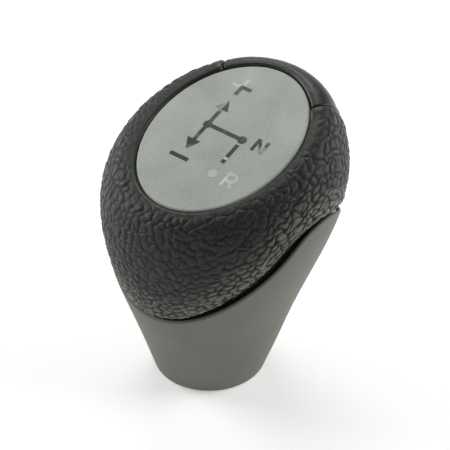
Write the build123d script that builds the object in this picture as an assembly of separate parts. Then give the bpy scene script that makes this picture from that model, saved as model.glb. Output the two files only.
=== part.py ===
from build123d import *
import os
from math import cos, radians, sin, tan

# Gear shift knob: a leather-covered egg on a tapered neck, with an oval shift pattern plate on top.
# Millimetres. Z runs up the lever, Y points forward in the car, X to the right.
# The origin lies on the lever's axis, in the plane of the neck's lower rim.

# Outer form: a rear and a front line, as (forward, height), and the half width between them.
# Each has two control points given as steps from the neck's lower rim, then two as steps from the
# crown, the flat oval around the plate.
base_radius = 13.1
rear_foot = [(-3.7, 10.4), (-5.5, 21.9)]
rear_shoulder = [(-9.2, -17.5), (-3.2, -7.1)]
front_foot = [(8.6, 13.8), (10.0, 29.0)]
front_shoulder = [(8.2, -23.2), (8.0, -9.4)]
width_foot = [(3.8,), (5.8,)]
width_shoulder = [(6.75,), (12.25,)]
section_count = 9
crown_height = 60.4
crown_forward = 4.7
crown_tilt = 19.0
crown_roll = 4.8
inner_roll = 1.2

# Top line of the neck, seen from the side: an arch with a rear and a front slope
arch_drop = 7.3
arch_forward = 4.6
arch_radius = 12.0
arch_rear_slope = 47.5
arch_front_slope = 34.0

# Neck sleeve, with a thin lip around the core's collar
neck_wall = 2.6
neck_lip = 0.6
neck_lip_height = 2.0
neck_lip_round = 0.3
neck_foot_round = 0.9

# Leather cover, in two panels that are sewn together at the front
leather = 1.8
leather_gap = 2.5
leather_steeper = 1.8
leather_rounder = 5.0
leather_edge_round = 1.4
leather_roll = 1.0
rim_width = 3.8
seam_angle = 38.0
seam_width = 0.9
seam_depth = 0.8

# Shift pattern plate
plate_width = 35.9
plate_length = 44.0
plate_thickness = 2.2
plate_crown = 0.6
plate_recess = 0.3
plate_edge_round = 0.5
plate_gap = 0.35
peg_radius = 1.5
peg_length = 3.5
peg_spacing = 26.0

# Moulded core inside the leather
core_wall = 2.4
core_roof = 5.5
core_fit = 0.15
collar_drop = 0.8
core_skirt_bottom = 17.0
boss_radius = 10.8
boss_bottom = 14.0
rib_count = 6
rib_thickness = 1.6
rib_bottom = 24.0

# Lever socket: a collet with a flange, and the spring ring around its fingers
bore_radius = 6.0
socket_wall = 2.0
socket_mouth = 2.0
socket_top = 36.0
socket_fit = 0.05
flange_radius = 10.2
flange_thickness = 1.6
slot_count = 4
slot_width = 1.2
slot_length = 9.0
ring_height = 6.0
ring_width = 2.4
ring_thickness = 1.0
ring_groove_depth = 0.6
ring_opening = 50.0

# Derived sizes
arch_height = crown_height - arch_drop
crown_width = plate_width + 2 * rim_width
crown_length = plate_length + 2 * rim_width
socket_radius = bore_radius + socket_wall
seat_depth = plate_recess + plate_thickness
roof_depth = seat_depth + core_roof
collar_inset = neck_lip + core_fit
skirt_inset = neck_wall + core_fit
reach = 4 * max(crown_width, crown_length, crown_height)

crown_run = (cos(radians(crown_tilt)), sin(radians(crown_tilt)))
crown_axis = Vector(0, -crown_run[1], crown_run[0])
crown_plane = Plane(origin=(0, crown_forward, crown_height), x_dir=(1, 0, 0), z_dir=crown_axis)


def on_curve(points, t):
    """Point at t along the Bezier curve of the control points."""
    while len(points) > 1:
        points = [tuple(a + (b - a) * t for a, b in zip(p, q)) for p, q in zip(points, points[1:])]
    return points[0]


def on_line(foot, foot_steps, crown_steps, crown, t):
    """Point at t along a line from foot to crown, with control points at steps from either end."""
    rise = [tuple(a + b for a, b in zip(foot, step)) for step in foot_steps]
    shoulder = [tuple(a + b for a, b in zip(crown, step)) for step in crown_steps]
    return on_curve([foot, *rise, *shoulder, crown], t)


def crown_end(side):
    """Rear (-1) or front (1) end of the crown, as (forward, height)."""
    half = side * crown_length / 2
    return (crown_forward + half * crown_run[0], crown_height + half * crown_run[1])


def section(t, inset):
    """Oval section between the rear and front lines at t, drawn in by inset all round."""
    rear = on_line((-base_radius, 0), rear_foot, rear_shoulder, crown_end(-1), t)
    front = on_line((base_radius, 0), front_foot, front_shoulder, crown_end(1), t)
    half_width = on_line((base_radius,), width_foot, width_shoulder, (crown_width / 2,), t)[0]
    across = Vector(0, front[0] - rear[0], front[1] - rear[1])
    middle = Vector(0, (front[0] + rear[0]) / 2, (front[1] + rear[1]) / 2)
    plane = Plane(origin=middle, x_dir=(1, 0, 0), z_dir=Vector(1, 0, 0).cross(across))
    return plane * Ellipse(half_width - inset, across.length / 2 - inset)


def body(inset):
    """The whole egg-and-neck form, drawn in by inset, with its top edge rolled over."""
    form = loft([section(step / (section_count - 1), inset) for step in range(section_count)])
    if inset > 0:
        form -= extrude(crown_plane.offset(-inset) * Circle(reach), reach)
    top = form.faces().sort_by(Axis((0, 0, 0), crown_axis))[-1]
    return fillet(top.edges(), max(crown_roll - inset, inner_roll))


def region_above(lift, steeper=0, rounder=0):
    """Everything above the neck's top line, seen from the side, or above a like line higher up."""
    peak = arch_height + lift
    rear = arch_forward - reach
    front = arch_forward + reach
    line = FilletPolyline(
        (rear, peak - reach * tan(radians(arch_rear_slope + steeper))),
        (arch_forward, peak),
        (front, peak - reach * tan(radians(arch_front_slope))),
        radius=arch_radius + rounder,
    )
    frame = Polyline(line @ 1, (front, reach), (rear, reach), line @ 0)
    return extrude(Plane.YZ * make_face([line, frame]), reach, both=True)


def oval_post(width, length, top, bottom):
    """Oval post on the plate's axis between two depths below the crown plane."""
    return extrude(crown_plane.offset(-bottom) * Ellipse(width / 2, length / 2), bottom - top)


def plate_pocket(depth):
    """Room for the plate, with its gap all round, from above the crown down to a depth."""
    return oval_post(plate_width + 2 * plate_gap, plate_length + 2 * plate_gap, -reach, depth)


def round_post(radius, bottom, top):
    """Round post on the lever's axis between two heights."""
    return extrude(Plane.XY.offset(bottom) * Circle(radius), top - bottom)


def pegs(radius, top, bottom):
    """The plate's two locating pegs, fore and aft on the plate's axis, between two depths."""
    face = crown_plane.offset(-bottom)
    return [extrude(face * Pos(0, end * peg_spacing / 2) * Circle(radius), bottom - top) for end in (-1, 1)]


def shared_edges(faces, others):
    """Edges along which one of the faces meets one of the others."""
    far = [edge for face in others for edge in face.edges()]
    return [edge for face in faces for edge in face.edges() if any(edge.is_same(other) for other in far)]


def outer_rim(shell):
    """Edges where a shell's outer skin meets the cut along the neck's top line."""
    skin = shell.faces().filter_by(GeomType.BSPLINE).sort_by(SortBy.AREA)[-1]
    cuts = [face for face in shell.faces() if face.geom_type != GeomType.BSPLINE and face.center().Z > neck_wall]
    return shared_edges([skin], cuts)


def neck_sleeve():
    """Tapered sleeve, open at both ends, with a thin lip and a ledge along the neck's top line."""
    sleeve = body(0) - body(neck_wall) - region_above(0)
    sleeve -= body(neck_lip) & region_above(-neck_lip_height)
    sleeve = fillet(outer_rim(sleeve), neck_lip_round)
    foot = sleeve.edges().filter_by_position(Axis.Z, -0.01, 0.01).sort_by(SortBy.LENGTH)[-1]
    return fillet(foot, neck_foot_round)


def leather_cover():
    """Leather over the head with a rounded lower edge and a rolled edge around the plate."""
    cover = (body(0) - body(leather)) & region_above(leather_gap, leather_steeper, leather_rounder)
    cover = fillet(outer_rim(cover), leather_edge_round)
    cover -= plate_pocket(2 * leather)
    walls = cover.faces().filter_by(GeomType.EXTRUSION)
    tops = cover.faces().filter_by(GeomType.PLANE).sort_by(Axis((0, 0, 0), crown_axis))[-1:]
    return fillet(shared_edges(walls, tops), leather_roll)


def front_sector():
    """Wedge ahead of the plate's axis that holds the front leather panel."""
    half_width = reach * tan(radians(seam_angle))
    corners = make_face(Polyline((0, 0), (half_width, reach), (-half_width, reach), close=True))
    return extrude(crown_plane * corners, reach, both=True)


def seam_grooves():
    """Shallow channels along the two sewn seams, at the sides of the front sector."""
    grooves = []
    for side in (-1, 1):
        strip = Rot(0, 0, side * seam_angle) * Pos(0, reach / 2) * Rectangle(seam_width, reach)
        grooves.append(extrude(crown_plane * strip, reach, both=True) - body(seam_depth))
    return grooves


def head_core():
    """Moulded core: egg, collar in the neck's lip, skirt, central boss on ribs, and a seat for the plate."""
    egg = body(leather) & region_above(-collar_drop)
    collar = (body(collar_inset) & region_above(-neck_lip_height)) - region_above(-collar_drop)
    skirt = body(skirt_inset) - region_above(-neck_lip_height)
    skirt -= round_post(reach, -reach, core_skirt_bottom)
    hollow = body(skirt_inset + core_wall) & oval_post(reach, reach, roof_depth, reach)
    hollow -= round_post(boss_radius, -reach, reach)
    for turn in range(rib_count):
        rib = Pos(reach / 2, 0, rib_bottom + reach / 2) * Box(reach, rib_thickness, reach)
        hollow -= Rot(0, 0, 90 + turn * 360 / rib_count) * rib
    core = egg + collar + skirt - hollow
    core += round_post(boss_radius, boss_bottom, core_skirt_bottom + core_wall)
    core -= round_post(socket_radius + socket_fit, -reach, socket_top)
    core -= plate_pocket(seat_depth)
    return core - pegs(peg_radius + plate_gap, seat_depth, seat_depth + peg_length + plate_gap)


def pattern_plate():
    """Oval plate with a domed top, a rounded edge and two pegs under it."""
    dome_radius = ((plate_length / 2) ** 2 + plate_crown ** 2) / (2 * plate_crown)
    dome_depth = plate_recess - plate_crown + dome_radius
    dome = Location(crown_plane.offset(-dome_depth)) * Rot(90, 0, 0) * Sphere(dome_radius)
    plate = oval_post(plate_width, plate_length, -reach, seat_depth) & dome
    rim = shared_edges(plate.faces().filter_by(GeomType.SPHERE), plate.faces().filter_by(GeomType.EXTRUSION))
    plate = fillet(rim, plate_edge_round)
    return plate + pegs(peg_radius, seat_depth, seat_depth + peg_length)


def lever_socket():
    """Collet for the lever: slotted fingers below a flange, and a plain sleeve above it."""
    socket = round_post(socket_radius, socket_mouth, socket_top)
    socket += round_post(flange_radius, boss_bottom - flange_thickness, boss_bottom)
    socket -= round_post(bore_radius, -reach, reach)
    slot = Pos(socket_radius, 0, socket_mouth) * Box(2 * socket_wall + bore_radius, slot_width, 2 * slot_length)
    for turn in range(slot_count):
        socket -= Rot(0, 0, (turn + 0.5) * 360 / slot_count) * slot
    half_groove = ring_width / 2 + socket_fit
    groove = round_post(reach, ring_height - half_groove, ring_height + half_groove)
    return socket - (groove - round_post(socket_radius - ring_groove_depth, -reach, reach))


def spring_ring():
    """Open band of spring steel in the groove around the collet's fingers."""
    inside = socket_radius - ring_groove_depth
    band = Plane.XZ * Pos(inside + ring_thickness / 2, ring_height) * Rectangle(ring_thickness, ring_width)
    return Rot(0, 0, 90 + ring_opening / 2) * revolve(band, Axis.Z, 360 - ring_opening)


def main():
    cover = leather_cover() - seam_grooves()
    nodes = {
        "neck_sleeve": neck_sleeve(),
        "head_core": head_core(),
        "leather_rear_panel": cover - front_sector(),
        "leather_front_panel": cover & front_sector(),
        "pattern_plate": pattern_plate(),
        "lever_socket": lever_socket(),
        "spring_ring": spring_ring(),
    }
    os.makedirs("parts", exist_ok=True)
    for name, shape in nodes.items():
        export_step(shape, f"parts/{name}.step")


main()
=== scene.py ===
from math import atan2, cos, pi, radians, sin, sqrt, tau

import bpy
import numpy as np
from mathutils import Matrix, Vector
from mathutils.bvhtree import BVHTree
from mathutils.kdtree import KDTree

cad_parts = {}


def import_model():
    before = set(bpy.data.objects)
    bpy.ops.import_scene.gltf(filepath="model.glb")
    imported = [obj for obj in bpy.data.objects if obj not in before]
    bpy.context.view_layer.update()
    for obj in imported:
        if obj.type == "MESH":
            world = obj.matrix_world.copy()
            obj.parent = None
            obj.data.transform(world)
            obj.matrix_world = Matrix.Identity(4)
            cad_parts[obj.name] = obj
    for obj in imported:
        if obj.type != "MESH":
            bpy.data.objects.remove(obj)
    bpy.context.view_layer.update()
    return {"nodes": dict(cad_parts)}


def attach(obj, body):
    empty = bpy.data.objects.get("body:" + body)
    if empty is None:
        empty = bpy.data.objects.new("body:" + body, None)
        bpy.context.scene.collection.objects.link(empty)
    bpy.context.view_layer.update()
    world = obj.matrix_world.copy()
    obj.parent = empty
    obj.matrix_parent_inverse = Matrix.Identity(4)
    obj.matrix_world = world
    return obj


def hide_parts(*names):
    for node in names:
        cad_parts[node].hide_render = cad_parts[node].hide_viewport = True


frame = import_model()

# Gear shift knob: the looks around the solids. Metres, in the solids' frame.
nodes = frame["nodes"]
mm = 0.001

# Crown and plate, with the same sizes as the solids
crown_centre = Vector((0, 4.7, 60.4)) * mm
crown_tilt = radians(19)
head_depth = 22 * mm
plate_width = 35.9 * mm
plate_length = 44.0 * mm
plate_crown = 0.6 * mm
plate_recess = 0.3 * mm

# Directions of the plate: to the right, forward along it, and out of it
plate_side = Vector((1, 0, 0))
plate_ahead = Vector((0, cos(crown_tilt), sin(crown_tilt)))
plate_axis = Vector((0, -sin(crown_tilt), cos(crown_tilt)))
head_centre = crown_centre - head_depth * plate_axis
dome_radius = ((plate_length / 2) ** 2 + plate_crown ** 2) / (2 * plate_crown)

# Leather panels
plate_gap = 0.15 * mm
seam_angle = radians(38)
seam_clear = radians(2.0)
leather = 1.7 * mm
edge_leather = 0.2 * mm
thin_edge = (2 * mm, 4 * mm)
leather_wall = 1.8 * mm
leather_roll = 1.0 * mm
leather_roll_turns = np.linspace(pi / 2, 0.1, 7)
panel_rows = 172
skin_samples = 2 * panel_rows
inner_rows = 8
column_step = radians(0.55)
search_step = radians(1)
search_halvings = 16
soften_passes = 4

# Lower edge of the leather, and the azimuths over which it changes
edge_tuck = 0.5 * mm
stretch_run = 7 * mm
stretch_slope = (2 * mm, 5 * mm)
rear_stretch = 1.7 * mm
front_stretch = 0.95 * mm
roll_depth = 0.4 * mm
front_roll = -0.1 * mm
roll_run = 4 * mm
front_fade = (radians(76), radians(112))
rear_closing = (radians(140), radians(182))
left_fade = (radians(255), radians(310))

# Leather grain
pebble_size = 1.85 * mm
pebble_height = 0.40 * mm
pebble_crease = 0.60 * mm
pebble_dome = 0.75
pebble_uneven = 0.25
pebble_seed = 2
fine_size = 0.7 * mm
fine_height = 0.12 * mm
fine_crease = 0.25 * mm
fine_seed = 3
crease_change = 12.9
crease_shares = (0.7, 0.3)
grain_squeeze = 1.4
drift_size = 0.45 * mm
drift_length = 3.4 * mm
drift_spread = (0.6, 1.6)
drift_waves = 8
drift_seed = 1
edge_fade = 1.4 * mm
seam_fade = 2.5 * mm
lower_gain = 0.7
lower_run = (3 * mm, 14 * mm)
lower_squeeze = 1.1
# Grain tops near the lower edge are paler over this run: painted highlight.
painted_highlight_run = (1 * mm, 12 * mm)
painted_highlight_tops = (0.3, 1.0)

# Smooth leather beside the plate
smooth_rear = 1.2 * mm
smooth_widening = 2.2 * mm
smooth_power = 0.6
smooth_front = 9 * mm
smooth_fade = 3.0 * mm
smooth_least = 0.12

# Seams
rear_seam_round = 1.0 * mm
front_seam_round = 0.6 * mm
seam_swell = 0.14 * mm
swell_place = 1.6 * mm
swell_width = 1.1 * mm
front_sink = 0.22 * mm
sink_run = 5 * mm

# Shift pattern on the plate, as places (to the right, forward) from its centre
gate_left = -5.0 * mm
gate_right = 5.0 * mm
gate_row = 1.0 * mm
gate_reverse = -9.7 * mm
gate_rubbed = (-4.6 * mm, -5.3 * mm, -6.4 * mm)
arrow_reach = 8.0 * mm
arrow_length = 3.1 * mm
arrow_half_width = 1.9 * mm
shaft_rubbed = 0.6 * mm
sign_arm = 2.6 * mm
plus_row = 13.6 * mm
minus_row = -9.4 * mm
letter_left = 8.5 * mm
letter_width = 2.4 * mm
letter_height = 3.6 * mm
letter_stroke = 0.82 * mm
neutral_row = -0.3 * mm
neutral_slope_dark = 0.62
neutral_stem_worn = 0.6
slope_depth = 1.3 * mm
reverse_row = -11.4 * mm
bowl_radius = 0.27 * letter_height
bowl_points = 9
mark_width = 1.02 * mm
mark_step = 1.5 * mm
mark_lift = 0.03 * mm
mark_sink = 0.08 * mm
dot_radius = 1.08 * mm
dot_points = 28
dot_lift = 1.4 * mark_lift

# Tones, from dark to light, and where they lie on the noise that clouds them
tone_stops = (0.3, 0.7)
foil_stops = (0.54, 0.72)
noise_detail = 3.0
leather_tones = ((0.0045, 0.0044, 0.0038), (0.0085, 0.0083, 0.0073))
# Painted shade: the darker tone the leather's creases pass to.
painted_crease_shade = (0.003, 0.003, 0.003)
# Painted highlight: the paler tone of the grain tops near the lower edge.
painted_highlight_tone = (0.170, 0.166, 0.144)
plate_tones = ((0.314, 0.352, 0.317), (0.399, 0.439, 0.399))
speckle_tones = ((0.8, 0.8, 0.8), (1, 1, 1))
dark_foil_tones = ((0.032, 0.038, 0.030), (0.11, 0.122, 0.104))
worn_foil_tones = ((0.165, 0.186, 0.164), (0.29, 0.32, 0.29))
rubbed_foil_tones = ((0.335, 0.37, 0.335), (0.43, 0.465, 0.43))
# Painted reflection: foil paler than the plate, for the R, its dot and a piece of the reverse line.
painted_glint_foil_tones = ((0.46, 0.495, 0.45), (0.58, 0.62, 0.57))
neck_tones = ((0.128, 0.126, 0.110), (0.145, 0.143, 0.125))
core_tones = ((0.006, 0.006, 0.006), (0.012, 0.012, 0.012))
nylon_tones = ((0.030, 0.030, 0.031), (0.055, 0.055, 0.056))
steel_tones = ((0.46, 0.46, 0.47), (0.60, 0.60, 0.61))
floor_tones = ((0.80, 0.80, 0.80), (0.84, 0.84, 0.84))

# Floor and surroundings
floor_half = 1.5
floor_level = -0.05 * mm
floor_glow = 0.36
far_glow = 0.75
glow_run = (0.3, 1.2)
wall_height = (0.08, 0.42)
wall_light = 1.0
ceiling_light = 0.12

# Lamps, a little warm, as place, size and power
lamp_tint = (1.0, 0.997, 0.98)
lamps = {
    "left": (Vector((-0.64, -0.22, 0.40)), (0.4, 0.5), 3.6),
    "right": (Vector((0.55, 0.38, 0.60)), (0.4, 0.4), 3.0),
    "back": (Vector((0.30, 0.56, 0.22)), (0.4, 0.45), 1.2),
    "top": (Vector((-0.46, 0.50, 0.80)), (0.5, 0.5), 4),
}

# Camera at the photograph's angle
camera_azimuth = radians(40.2)
camera_elevation = radians(36.2)
camera_distance = 450 * mm
camera_lens = 158.7
camera_near = 0.01
aim_point = Vector((0, 0, 38)) * mm
aim_right = 3.62 * mm
aim_up = 0.44 * mm


# Helpers

def mesh_object(name, points, faces, material, smooth):
    """New mesh object that moves with the knob."""
    mesh = bpy.data.meshes.new(name)
    mesh.from_pydata([tuple(p) for p in points], [], faces)
    mesh.polygons.foreach_set("use_smooth", [smooth] * len(mesh.polygons))
    mesh.materials.append(material)
    piece = bpy.data.objects.new(name, mesh)
    bpy.context.scene.collection.objects.link(piece)
    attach(piece, "root")
    return piece


def smooth_step(low, high, values):
    """0 below low, 1 above high, and a smooth rise between them."""
    share = np.clip((values - low) / (high - low), 0, 1)
    return share * share * (3 - 2 * share)


# Lines down the leather

def level_heading(azimuth):
    """Direction across the plate's axis, with the azimuth taken from forward to the right."""
    return plate_ahead * cos(azimuth) + plate_side * sin(azimuth)


def opening_radius(azimuth):
    """Distance from the plate's axis to the edge of the leather's opening."""
    half_width = plate_width / 2 + plate_gap
    half_length = plate_length / 2 + plate_gap
    return 1 / sqrt((sin(azimuth) / half_width) ** 2 + (cos(azimuth) / half_length) ** 2)


def skin_point(tree, azimuth, polar):
    """Point where a line from outside to the head's centre first meets the solid, or None."""
    away = plate_axis * cos(polar) + level_heading(azimuth) * sin(polar)
    reach = 3 * head_depth
    hit = tree.ray_cast(head_centre + away * reach, -away, reach)
    return hit[0]


def lower_polar(tree, azimuth, start):
    """Angle from the plate's axis, at the head's centre, of the leather's lower edge."""
    inside = start
    while skin_point(tree, azimuth, inside + search_step):
        inside += search_step
    outside = inside + search_step
    for halving in range(search_halvings):
        middle = (inside + outside) / 2
        if skin_point(tree, azimuth, middle):
            inside = middle
        else:
            outside = middle
    return inside


def profile(tree, azimuth, stretch):
    """Line down the leather at an azimuth: out of the plate's gap, over the roll, down the skin and in."""
    radius = opening_radius(azimuth)
    level = level_heading(azimuth)
    points = [crown_centre + level * radius - plate_axis * leather_wall]
    for turn in leather_roll_turns:
        away = radius + leather_roll * (1 - sin(turn))
        points.append(crown_centre + level * away - plate_axis * leather_roll * (1 - cos(turn)))
    start = atan2(radius + leather_roll, head_depth)
    polars = np.linspace(start, lower_polar(tree, azimuth, start), skin_samples)
    skin = np.array([skin_point(tree, azimuth, polar) for polar in polars])
    skin = stretch_edge(skin, stretch)
    inward = np.array(head_centre) - skin[-1]
    tuck = skin[-1] + inward / np.linalg.norm(inward) * edge_tuck
    return even_spacing(np.concatenate([points, skin, [tuck]]))


def length_along(points):
    """Distance of each point of a line from its first one."""
    steps = np.linalg.norm(np.diff(points, axis=0), axis=1)
    return np.concatenate([[0], np.cumsum(steps)])


def stretch_edge(skin, stretch):
    """The line down the skin with its lower end drawn down along the skin."""
    above = length_along(skin[::-1])[::-1]
    slope_end, slope_start = [skin[np.argmax(above < height)] for height in stretch_slope]
    slope = slope_end - slope_start
    slope /= np.linalg.norm(slope)
    return skin + np.outer(1 - smooth_step(0, stretch_run, above), slope * stretch)


def even_spacing(points):
    """The line's points again, at even spacing."""
    along = length_along(points)
    wanted = np.linspace(0, along[-1], panel_rows)
    return np.stack([np.interp(wanted, along, points[:, axis]) for axis in range(3)], axis=1)


# How the leather changes round the knob

def rear_smooth_band(azimuth):
    """Width of the smooth leather beside the plate: narrow at the rear, wider towards the seams."""
    forward_share = 0.5 + 0.5 * cos(azimuth)
    return smooth_rear + smooth_widening * forward_share ** smooth_power


def front_smooth_band(azimuth):
    """Width of the smooth leather beside the plate ahead of the seams."""
    return smooth_front


def rear_edge_stretch(azimuth):
    """How far the rear panel's lower edge reaches down: it closes the gap at the rear and on the left."""
    ahead_left = smooth_step(*left_fade, azimuth)
    ahead_right = 1 - smooth_step(*front_fade, azimuth)
    closed = smooth_step(*rear_closing, azimuth) - ahead_left
    return float(rear_stretch * closed + front_stretch * (ahead_right + ahead_left))


def front_edge_stretch(azimuth):
    """How far the front panel's lower edge reaches down."""
    return front_stretch


def edge_roll(azimuth):
    """How far the lower edge is rolled in. Towards the front it stands out over the neck."""
    from_front = min(azimuth % tau, -azimuth % tau)
    return front_roll + (roll_depth - front_roll) * smooth_step(*front_fade, from_front)


# Leather panels

def panel_grid(node, first, last, edge_stretch):
    """Grid of points over a leather solid between two azimuths, one column for each profile."""
    tree = BVHTree.FromObject(nodes[node], bpy.context.evaluated_depsgraph_get())
    columns = []
    azimuths = np.linspace(first, last, round((last - first) / column_step) + 1)
    for azimuth in azimuths:
        clear = min(max(azimuth, first + seam_clear), last - seam_clear)
        turn = np.array(Matrix.Rotation(clear - azimuth, 3, plate_axis))
        column = profile(tree, clear, edge_stretch(clear)) - np.array(crown_centre)
        columns.append(column @ turn.T + np.array(crown_centre))
    return azimuths, soften(np.array(columns))


def soften(grid):
    """The grid with its small facets evened out between neighbouring columns."""
    for softening in range(soften_passes):
        grid[1:-1] = (grid[:-2] + 2 * grid[1:-1] + grid[2:]) / 4
    return grid


def grid_normals(grid):
    """Outward normal at each point of a panel's grid."""
    across = np.gradient(grid, axis=0)
    down = np.gradient(grid, axis=1)
    normals = np.cross(across, down)
    normals /= np.linalg.norm(normals, axis=2, keepdims=True)
    facing = np.sum(normals * (grid - np.array(head_centre)), axis=2).mean()
    return normals if facing > 0 else -normals


def panel_lengths(azimuths, grid):
    """Distances over a panel: below the plate's gap, above the lower edge and from the nearer seam."""
    steps = np.linalg.norm(np.diff(grid, axis=1), axis=2)
    below_plate = np.concatenate([np.zeros((len(grid), 1)), np.cumsum(steps, axis=1)], axis=1)
    above_edge = below_plate[:, -1:] - below_plate
    level = grid - np.array(crown_centre)
    level = level - (level @ np.array(plate_axis))[:, :, None] * np.array(plate_axis)
    seam_turn = np.minimum(azimuths - azimuths[0], azimuths[-1] - azimuths).clip(0, pi / 2)
    from_seam = np.linalg.norm(level, axis=2) * np.sin(seam_turn)[:, None]
    return below_plate, above_edge, from_seam


def drift(points):
    """Slow random shifts that bend the pebbles out of a regular pattern."""
    random = np.random.default_rng(drift_seed)
    shift = np.zeros_like(points)
    for wave in range(drift_waves):
        heading = random.normal(size=3)
        heading *= tau / drift_length * random.uniform(*drift_spread) / np.linalg.norm(heading)
        shift += np.sin(points @ heading + random.uniform(0, tau))[:, None] * random.normal(size=3)
    return shift * drift_size / sqrt(drift_waves)


def grain_space(grid, above_edge):
    """A panel's points, bent to make the pebbles uneven and squeezed to make them wide."""
    flat = grid.reshape(-1, 3)
    bent = flat + drift(flat)
    bent = bent + np.outer(bent @ np.array(plate_axis), plate_axis) * (grain_squeeze - 1)
    near_edge = (lower_run[1] - above_edge).clip(0).reshape(-1)
    return bent - np.outer(near_edge ** 2, plate_axis) * lower_squeeze / (2 * lower_run[1])


def point_tree(points):
    """Search tree over some points."""
    tree = KDTree(len(points))
    for index, point in enumerate(points):
        tree.insert(point, index)
    tree.balance()
    return tree


def scatter(points, spacing, seed):
    """Some of the points, at random but never closer together than the spacing."""
    tree = point_tree(points)
    free = np.ones(len(points), bool)
    kept = []
    for index in np.random.default_rng(seed).permutation(len(points)):
        if free[index]:
            kept.append(points[index])
            free[[near for place, near, away in tree.find_range(points[index], spacing)]] = False
    return kept


def pebbles(points, spacing, crease, seed):
    """Height of the grain, from 0 in its creases to 1 on its pebbles, which are a spacing apart or more."""
    centres = scatter(points, spacing, seed)
    heights = np.random.default_rng(seed).uniform(1 - pebble_uneven, 1, len(centres))
    tree = point_tree(centres)
    grain = np.zeros(len(points))
    for row, point in enumerate(points):
        (first, index, near), (second, other, far) = tree.find_n(point, 2)
        border = (far ** 2 - near ** 2) / (2 * (second - first).length)
        fall = (1 - min(border / crease, 1)) ** 2
        depth = abs(sin(crease_change * (index + other)))
        dome = 1 - pebble_dome * (near / spacing) ** 2
        grain[row] = heights[index] * dome * (1 - depth * fall)
    return grain


def edge_shape(azimuths, above_edge, from_seam, seam_round, swell, sink):
    """Height along a panel's edges: rolled, swollen or sunk at its seams, and rolled at its lower edge."""
    rolled = (seam_round - from_seam).clip(0, seam_round)
    height = np.sqrt(seam_round ** 2 - rolled ** 2) - seam_round
    height = height + swell * np.exp(-((from_seam - swell_place) / swell_width) ** 2)
    height = height - sink * (1 - smooth_step(0, sink_run, from_seam))
    roll = np.array([edge_roll(azimuth) for azimuth in azimuths])[:, None]
    return height - roll * (1 - (above_edge / roll_run).clip(0, 1)) ** 2


def inner_side(grid, above_edge):
    """Inner side of a panel, from its lower edge up: thin at the edge, then the leather's full thickness."""
    rows = ((1 - np.linspace(0, 1, inner_rows) ** 2) * (panel_rows - 1)).round().astype(int)
    inner = grid[:, rows]
    inward = np.array(head_centre) - inner
    depth = edge_leather + (leather - edge_leather) * smooth_step(*thin_edge, above_edge[:, rows])
    return inner + inward / np.linalg.norm(inward, axis=2, keepdims=True) * depth[:, :, None]


def tube_faces(columns, ring):
    """Faces of a closed tube: one ring of points for each column, with an end face at each end."""
    faces = []
    for column in range(columns - 1):
        here = column * ring
        there = here + ring
        for row in range(ring):
            after = (row + 1) % ring
            faces.append((here + row, here + after, there + after, there + row))
    faces.append(tuple(reversed(range(ring))))
    faces.append(tuple(range((columns - 1) * ring, columns * ring)))
    return faces


def keep_values(piece, name, values):
    """Keeps a value for each point of a panel's outer side, and 0 on its inner side, for its material."""
    layer = piece.data.attributes.new(name, "FLOAT", "POINT")
    layer.data.foreach_set("value", np.pad(values, ((0, 0), (0, inner_rows))).reshape(-1))


def leather_panel(name, node, first, last, material, smooth_band, edge_stretch, seam_round, swell, sink):
    """Leather panel with a pebbled grain, smooth near the plate, and edges rolled in at its seams."""
    azimuths, grid = panel_grid(node, first, last, edge_stretch)
    below_plate, above_edge, from_seam = panel_lengths(azimuths, grid)
    band = np.array([smooth_band(azimuth) for azimuth in azimuths])[:, None]
    amount = smooth_least + (1 - smooth_least) * smooth_step(band, band + smooth_fade, below_plate)
    amount = amount * smooth_step(edge_tuck, edge_tuck + edge_fade, above_edge)
    amount = amount * smooth_step(0, seam_fade, from_seam)
    gain = 1 + lower_gain * (1 - smooth_step(*lower_run, above_edge))

    bent = grain_space(grid, above_edge)
    coarse = pebbles(bent, pebble_size, pebble_crease, pebble_seed).reshape(amount.shape)
    fine = pebbles(bent, fine_size, fine_crease, fine_seed).reshape(amount.shape)
    height = amount * gain * (pebble_height * (coarse - 1) + fine_height * (fine - 1))
    height = height + edge_shape(azimuths, above_edge, from_seam, seam_round, swell, sink)

    outer = grid + grid_normals(grid) * height[:, :, None]
    loops = np.concatenate([outer, inner_side(grid, above_edge)], axis=1)
    faces = tube_faces(*loops.shape[:2])
    piece = mesh_object(name, loops.reshape(-1, 3), faces, material, smooth=True)
    coarse_share, fine_share = crease_shares
    # The crease value darkens the creases as painted shade, and makes them rougher.
    keep_values(piece, "crease", amount * (1 - coarse_share * coarse - fine_share * fine))
    # Painted highlight: paler grain tops near the lower edge.
    near_edge = 1 - smooth_step(*painted_highlight_run, above_edge)
    keep_values(piece, "wear_and_painted_highlight", near_edge * smooth_step(*painted_highlight_tops, coarse))
    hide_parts(node)


# Shift pattern

def on_plate(place, lift):
    """Point on the plate's dome at a place (to the right, forward), raised by lift."""
    right, forward = place
    height = plate_crown - plate_recess - dome_radius + sqrt(dome_radius ** 2 - right ** 2 - forward ** 2)
    return crown_centre + plate_side * right + plate_ahead * forward + plate_axis * (height + lift)


def part_way(start, end, share):
    """Place at a share of the way from one place to another."""
    return tuple(a + (b - a) * share for a, b in zip(start, end))


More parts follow.
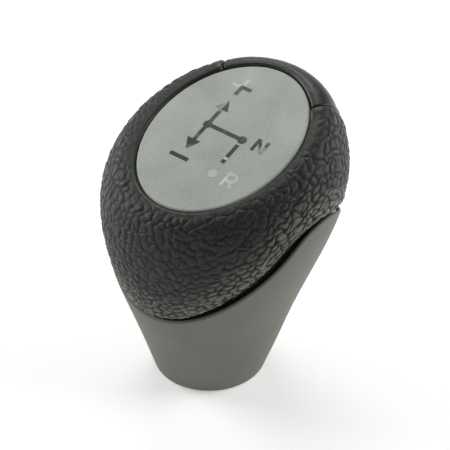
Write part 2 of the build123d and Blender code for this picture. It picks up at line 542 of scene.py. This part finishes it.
def stroke(points, width=mark_width):
    """Outlines of the short pieces of a line of some width."""
    line = [points[0]]
    for start, end in zip(points, points[1:]):
        length = sqrt((end[0] - start[0]) ** 2 + (end[1] - start[1]) ** 2)
        parts = max(1, round(length / mark_step))
        line += [part_way(start, end, part / parts) for part in range(1, parts + 1)]
    line = np.array(line)
    runs = np.diff(line, axis=0)
    runs /= np.linalg.norm(runs, axis=1, keepdims=True)
    sides = np.stack([-runs[:, 1], runs[:, 0]], axis=1)
    before = np.concatenate([sides[:1], sides])
    after = np.concatenate([sides, sides[-1:]])
    mitre = before + after
    mitre /= np.sum(mitre * after, axis=1, keepdims=True)
    left = line + mitre * width / 2
    right = line - mitre * width / 2
    return [[right[i], right[i + 1], left[i + 1], left[i]] for i in range(len(line) - 1)]


def dot(centre):
    """Outline of a round dot."""
    turns = np.linspace(0, tau, dot_points, endpoint=False)
    return [[(centre[0] + dot_radius * cos(turn), centre[1] + dot_radius * sin(turn)) for turn in turns]]


def half_arrow_head(tip, heading, side):
    """Outline of the left (-1) or right (1) half of an arrow head that points forward (1) or back (-1)."""
    base = tip[1] - heading * arrow_length
    corners = [(tip[0], base), (tip[0] + side * arrow_half_width, base), tip]
    return [corners if heading * side > 0 else corners[::-1]]


def sloping_bar(start, end):
    """Outline of the N's sloping bar between two places on its upper side."""
    return [[(start[0], start[1] - slope_depth), (end[0], end[1] - slope_depth), end, start]]


def letter_n(left, bottom):
    """Outlines of an N, as those still dark and those worn."""
    top = bottom + letter_height
    right = left + letter_width
    slope_start = (left + letter_stroke / 2, top)
    slope_end = (right - letter_stroke / 2, bottom + slope_depth)
    slope_fade = part_way(slope_start, slope_end, neutral_slope_dark)
    stem_fade = part_way((right, bottom), (right, top), neutral_stem_worn)
    dark = stroke([(left, bottom), (left, top)], letter_stroke) + sloping_bar(slope_start, slope_fade)
    dark += stroke([stem_fade, (right, top)], letter_stroke)
    wear_and_painted_highlight = sloping_bar(slope_fade, slope_end) + stroke([(right, bottom), stem_fade], letter_stroke)
    return dark, wear_and_painted_highlight


def letter_r(left, bottom):
    """Outlines of an R."""
    top = bottom + letter_height
    waist = top - 2 * bowl_radius
    straight = left + letter_width - bowl_radius
    bowl = []
    for turn in np.linspace(pi / 2, -pi / 2, bowl_points):
        bowl.append((straight + bowl_radius * cos(turn), top - bowl_radius + bowl_radius * sin(turn)))
    stem_and_bowl = stroke([(left, bottom), (left, top), *bowl, (left, waist)], letter_stroke)
    return stem_and_bowl + stroke([(straight, waist), (left + letter_width, bottom)], letter_stroke)


def marks(name, outlines, lift, material):
    """Thin inlaid marks on the plate, each outline a low prism set into the dome."""
    points = []
    faces = []
    for outline in outlines:
        start = len(points)
        count = len(outline)
        points += [on_plate(place, lift) for place in outline]
        points += [on_plate(place, -mark_sink) for place in outline]
        faces.append(tuple(range(start, start + count)))
        faces.append(tuple(reversed(range(start + count, start + 2 * count))))
        for i in range(count):
            j = (i + 1) % count
            faces.append((start + i, start + count + i, start + count + j, start + j))
    piece = mesh_object(name, points, faces, material, smooth=False)


def shift_pattern():
    """Gate lines, arrows, dots, signs and letters on the plate, with the rubbed places of the foil."""
    dark_foil = foil_material("dark_foil", dark_foil_tones)
    painted_glint_foil = foil_material("painted_glint_foil", painted_glint_foil_tones)
    rubbed_foil = foil_material("rubbed_foil", rubbed_foil_tones)
    worn_foil = foil_material("worn_foil", worn_foil_tones)
    column = (gate_left, gate_row)
    neutral = (gate_right, gate_row)
    reverse = (gate_right, gate_reverse)
    reverse_start = (gate_right, gate_row - dot_radius - mark_width / 2)
    breaks = [(gate_right, forward) for forward in gate_rubbed]
    front_tip, back_tip = [(gate_left, gate_row + heading * arrow_reach) for heading in (1, -1)]
    shaft = arrow_reach - arrow_length
    front_base, back_base = [(gate_left, gate_row + heading * shaft) for heading in (1, -1)]
    shaft_fade = (gate_left, front_base[1] - shaft_rubbed)
    half_mark = mark_width / 2

    dark = stroke([back_base, shaft_fade])
    dark += half_arrow_head(front_tip, 1, 1)
    dark += half_arrow_head(back_tip, -1, 1) + half_arrow_head(back_tip, -1, -1)
    dark += stroke([(gate_left + half_mark, gate_row), neutral])
    dark += stroke([reverse_start, breaks[0]]) + stroke(breaks[1:])
    dark += stroke([(gate_left - half_mark, plus_row), (gate_left + sign_arm, plus_row)])
    dark += stroke([(gate_left, plus_row - half_mark), (gate_left, plus_row - sign_arm)])
    dark += stroke([(gate_left - sign_arm, minus_row), (gate_left + sign_arm, minus_row)])
    wear_and_painted_highlight = half_arrow_head(front_tip, 1, -1) + stroke([shaft_fade, front_base])
    rubbed = stroke([(gate_left - sign_arm, plus_row), (gate_left - half_mark, plus_row)])
    rubbed += stroke([(gate_left, plus_row + half_mark), (gate_left, plus_row + sign_arm)])
    rubbed += stroke([breaks[2], reverse])
    neutral_dark, neutral_worn = letter_n(letter_left, neutral_row)
    # Painted reflection: the R, its dot and a piece of the reverse line are paler than the plate.
    pale = stroke(breaks[:2]) + letter_r(letter_left, reverse_row)

    marks("gate_lines", dark + neutral_dark, mark_lift, dark_foil)
    marks("gate_dots", dot(column) + dot(neutral), dot_lift, dark_foil)
    marks("worn_lines", wear_and_painted_highlight + neutral_worn, mark_lift, worn_foil)
    marks("rubbed_lines", rubbed, mark_lift, rubbed_foil)
    marks("reverse_letter", pale, mark_lift, painted_glint_foil)
    marks("reverse_dot", dot(reverse), dot_lift, painted_glint_foil)


# Materials

def new_material(name):
    """Empty node material, with its node tree and its main shader."""
    material = bpy.data.materials.new(name)
    material.use_nodes = True
    return material, material.node_tree, material.node_tree.nodes["Principled BSDF"]


def add_node(tree, kind, **values):
    """New node with its settings, by property name, and its input values, by socket name."""
    node = tree.nodes.new(kind)
    for key, value in values.items():
        if hasattr(node, key):
            setattr(node, key, value)
        else:
            node.inputs[key.replace("_", " ")].default_value = value
    return node


def place_noise(tree, scale):
    """Noise over the object's own space, with features about 1 / scale metres apart."""
    place = add_node(tree, "ShaderNodeTexCoord")
    noise = add_node(tree, "ShaderNodeTexNoise", Scale=scale, Detail=noise_detail)
    tree.links.new(place.outputs["Object"], noise.inputs["Vector"])
    return noise.outputs["Fac"]


def clouded(tree, tones, scale, stops=tone_stops):
    """Colour clouded by noise between two tones."""
    node = add_node(tree, "ShaderNodeValToRGB")
    for element, stop, tone in zip(node.color_ramp.elements, stops, tones):
        element.position = stop
        element.color = (*tone, 1)
    tree.links.new(place_noise(tree, scale), node.inputs["Fac"])
    return node.outputs["Color"]


def spread(tree, value, low, high):
    """The value from 0 to 1 spread between low and high."""
    node = add_node(tree, "ShaderNodeMapRange", To_Min=low, To_Max=high)
    tree.links.new(value, node.inputs["Value"])
    return node.outputs["Result"]


def eased(tree, value, run, start, end):
    """Passes smoothly from start to end while the value goes through a run."""
    node = add_node(tree, "ShaderNodeMapRange", interpolation_type="SMOOTHSTEP", To_Min=start, To_Max=end)
    node.inputs["From Min"].default_value = run[0]
    node.inputs["From Max"].default_value = run[1]
    tree.links.new(value, node.inputs["Value"])
    return node.outputs["Result"]


def passing(tree, colour, layer, tone):
    """The colour passing to a tone by a panel's kept values."""
    mix = add_node(tree, "ShaderNodeMix", data_type="RGBA")
    tree.links.new(layer.outputs["Fac"], mix.inputs["Factor"])
    tree.links.new(colour, mix.inputs["A"])
    mix.inputs["B"].default_value = (*tone, 1)
    return mix.outputs["Result"]


def relief(tree, shader, scale, depth):
    """Fine relief on a shader."""
    node = add_node(tree, "ShaderNodeBump", Strength=1.0, Distance=depth)
    tree.links.new(place_noise(tree, scale), node.inputs["Height"])
    tree.links.new(node.outputs["Normal"], shader.inputs["Normal"])


def surface(name, tones, tone_scale, gloss, gloss_scale, stops=tone_stops):
    """Node material with a clouded tone and an uneven gloss, with its node tree and its main shader."""
    material, tree, shader = new_material(name)
    tree.links.new(clouded(tree, tones, tone_scale, stops), shader.inputs["Base Color"])
    tree.links.new(spread(tree, place_noise(tree, gloss_scale), *gloss), shader.inputs["Roughness"])
    return material, tree, shader


def leather_material():
    """Black grained leather, duller in its creases, with painted shade darkening the creases and a painted
    highlight making the grain tops paler near its lower edge.
    """
    material, tree, shader = new_material("grained_leather")
    crease = add_node(tree, "ShaderNodeAttribute", attribute_name="crease")
    wear_and_painted_highlight = add_node(tree, "ShaderNodeAttribute", attribute_name="wear_and_painted_highlight")
    # Painted shade: the colour passes to a darker tone in the creases.
    tone_and_painted_crease_shade = passing(tree, clouded(tree, leather_tones, scale=220), crease, painted_crease_shade)
    # Painted highlight: the colour passes to a paler tone on grain tops near the lower edge.
    tree.links.new(passing(tree, tone_and_painted_crease_shade, wear_and_painted_highlight, painted_highlight_tone), shader.inputs["Base Color"])
    tree.links.new(spread(tree, crease.outputs["Fac"], low=0.42, high=0.8), shader.inputs["Roughness"])
    shader.inputs["Specular IOR Level"].default_value = 0.45
    shader.inputs["Sheen Weight"].default_value = 0.50
    shader.inputs["Sheen Roughness"].default_value = 0.26
    shader.inputs["Sheen Tint"].default_value = (1, 0.99, 0.91, 1)
    relief(tree, shader, scale=2600, depth=0.006 * mm)
    return material


def plate_material():
    """Pale grey-green satin plate with a fine speckle, a faint cloudiness and a clear lacquer."""
    material, tree, shader = new_material("satin_plate")
    mix = add_node(tree, "ShaderNodeMix", data_type="RGBA", blend_type="MULTIPLY")
    mix.inputs["Factor"].default_value = 1.0
    tree.links.new(clouded(tree, plate_tones, scale=110), mix.inputs["A"])
    tree.links.new(clouded(tree, speckle_tones, scale=2600), mix.inputs["B"])
    tree.links.new(mix.outputs["Result"], shader.inputs["Base Color"])
    gloss = spread(tree, place_noise(tree, scale=1800), low=0.54, high=0.64)
    tree.links.new(gloss, shader.inputs["Roughness"])
    shader.inputs["Coat Weight"].default_value = 0.2
    shader.inputs["Coat Roughness"].default_value = 0.45
    relief(tree, shader, scale=3500, depth=0.004 * mm)
    return material


def foil_material(name, tones):
    """Metal foil with rubbed patches."""
    material, tree, shader = surface(
        name, tones, tone_scale=330, gloss=(0.3, 0.42), gloss_scale=900, stops=foil_stops,
    )
    shader.inputs["Metallic"].default_value = 0.3
    return material


def neck_material():
    """Satin warm grey moulding with a fine spark-eroded texture."""
    material, tree, shader = surface(
        "neck_moulding", neck_tones, tone_scale=90, gloss=(0.52, 0.64), gloss_scale=1500,
    )
    shader.inputs["Specular IOR Level"].default_value = 0.3
    relief(tree, shader, scale=3000, depth=0.008 * mm)
    return material


def core_material():
    """Black moulding, glossier than the leather."""
    material, tree, shader = surface(
        "core_moulding", core_tones, tone_scale=200, gloss=(0.22, 0.34), gloss_scale=900,
    )
    return material


def socket_material():
    """Dark grey glass-filled nylon with a cloudy flow pattern."""
    material, tree, shader = surface(
        "socket_nylon", nylon_tones, tone_scale=300, gloss=(0.4, 0.55), gloss_scale=1200,
    )
    relief(tree, shader, scale=2400, depth=0.01 * mm)
    return material


def ring_material():
    """Spring steel with an uneven polish."""
    material, tree, shader = surface(
        "spring_steel", steel_tones, tone_scale=600, gloss=(0.22, 0.38), gloss_scale=2000,
    )
    shader.inputs["Metallic"].default_value = 1.0
    return material


def dress_solid(name, material):
    """Gives a solid its material."""
    mesh = nodes[name].data
    mesh.materials.clear()
    mesh.materials.append(material)


# Studio

def area_light(name, place, size, power):
    """Soft rectangular light at a place, aimed at the knob."""
    light = bpy.data.lights.new(name, "AREA")
    light.shape = "RECTANGLE"
    light.size, light.size_y = size
    light.energy = power
    light.color = lamp_tint
    lamp = bpy.data.objects.new(name, light)
    lamp.location = place
    lamp.rotation_euler = (aim_point - lamp.location).to_track_quat("-Z", "Y").to_euler()
    bpy.context.scene.collection.objects.link(lamp)


def floor():
    """Plain pale floor that shows white and keeps the knob's shadow."""
    corners = []
    for right, forward in ((-1, -1), (1, -1), (1, 1), (-1, 1)):
        corners.append((right * floor_half, forward * floor_half, floor_level))
    mesh = bpy.data.meshes.new("floor")
    mesh.from_pydata(corners, [], [(0, 1, 2, 3)])
    piece = bpy.data.objects.new("floor", mesh)
    bpy.context.scene.collection.objects.link(piece)
    material, tree, shader = new_material("studio_floor")
    tree.links.new(clouded(tree, floor_tones, scale=4), shader.inputs["Base Color"])
    shader.inputs["Roughness"].default_value = 0.9
    shader.inputs["Emission Color"].default_value = (1, 1, 1, 1)
    place = add_node(tree, "ShaderNodeTexCoord")
    away = add_node(tree, "ShaderNodeVectorMath", operation="LENGTH")
    tree.links.new(place.outputs["Object"], away.inputs[0])
    glow = eased(tree, away.outputs["Value"], glow_run, floor_glow, far_glow)
    tree.links.new(glow, shader.inputs["Emission Strength"])
    mesh.materials.append(material)


def world():
    """White surroundings near the floor that darken to a grey ceiling."""
    surroundings = bpy.data.worlds.new("studio")
    surroundings.use_nodes = True
    bpy.context.scene.world = surroundings
    tree = surroundings.node_tree
    background = tree.nodes["Background"]
    background.inputs["Color"].default_value = (1, 1, 1, 1)
    place = add_node(tree, "ShaderNodeTexCoord")
    parts = add_node(tree, "ShaderNodeSeparateXYZ")
    tree.links.new(place.outputs["Generated"], parts.inputs["Vector"])
    light = eased(tree, parts.outputs["Z"], wall_height, wall_light, ceiling_light)
    tree.links.new(light, background.inputs["Strength"])


def camera():
    """Camera at the photograph's viewing angle."""
    lens = bpy.data.cameras.new("camera")
    lens.lens = camera_lens
    lens.clip_start = camera_near
    eye = bpy.data.objects.new("camera", lens)
    back = Vector((
        sin(camera_azimuth) * cos(camera_elevation),
        -cos(camera_azimuth) * cos(camera_elevation),
        sin(camera_elevation),
    ))
    right = Vector((cos(camera_azimuth), sin(camera_azimuth), 0))
    up = back.cross(right)
    turn = Matrix((right, up, back)).transposed().to_4x4()
    aim = aim_point + right * aim_right + up * aim_up
    eye.matrix_world = Matrix.Translation(aim + back * camera_distance) @ turn
    bpy.context.scene.collection.objects.link(eye)
    bpy.context.scene.camera = eye


hide = leather_material()
leather_panel(
    "rear_leather", "leather_rear_panel", seam_angle, tau - seam_angle, hide,
    smooth_band=rear_smooth_band, edge_stretch=rear_edge_stretch,
    seam_round=rear_seam_round, swell=seam_swell, sink=0,
)
leather_panel(
    "front_leather", "leather_front_panel", -seam_angle, seam_angle, hide,
    smooth_band=front_smooth_band, edge_stretch=front_edge_stretch,
    seam_round=front_seam_round, swell=0, sink=front_sink,
)
shift_pattern()
dress_solid("pattern_plate", plate_material())
dress_solid("neck_sleeve", neck_material())
dress_solid("head_core", core_material())
dress_solid("lever_socket", socket_material())
dress_solid("spring_ring", ring_material())

floor()
world()
for name, (place, size, power) in lamps.items():
    area_light(name, place, size, power)
camera()
bpy.context.scene.view_settings.view_transform = "Standard"
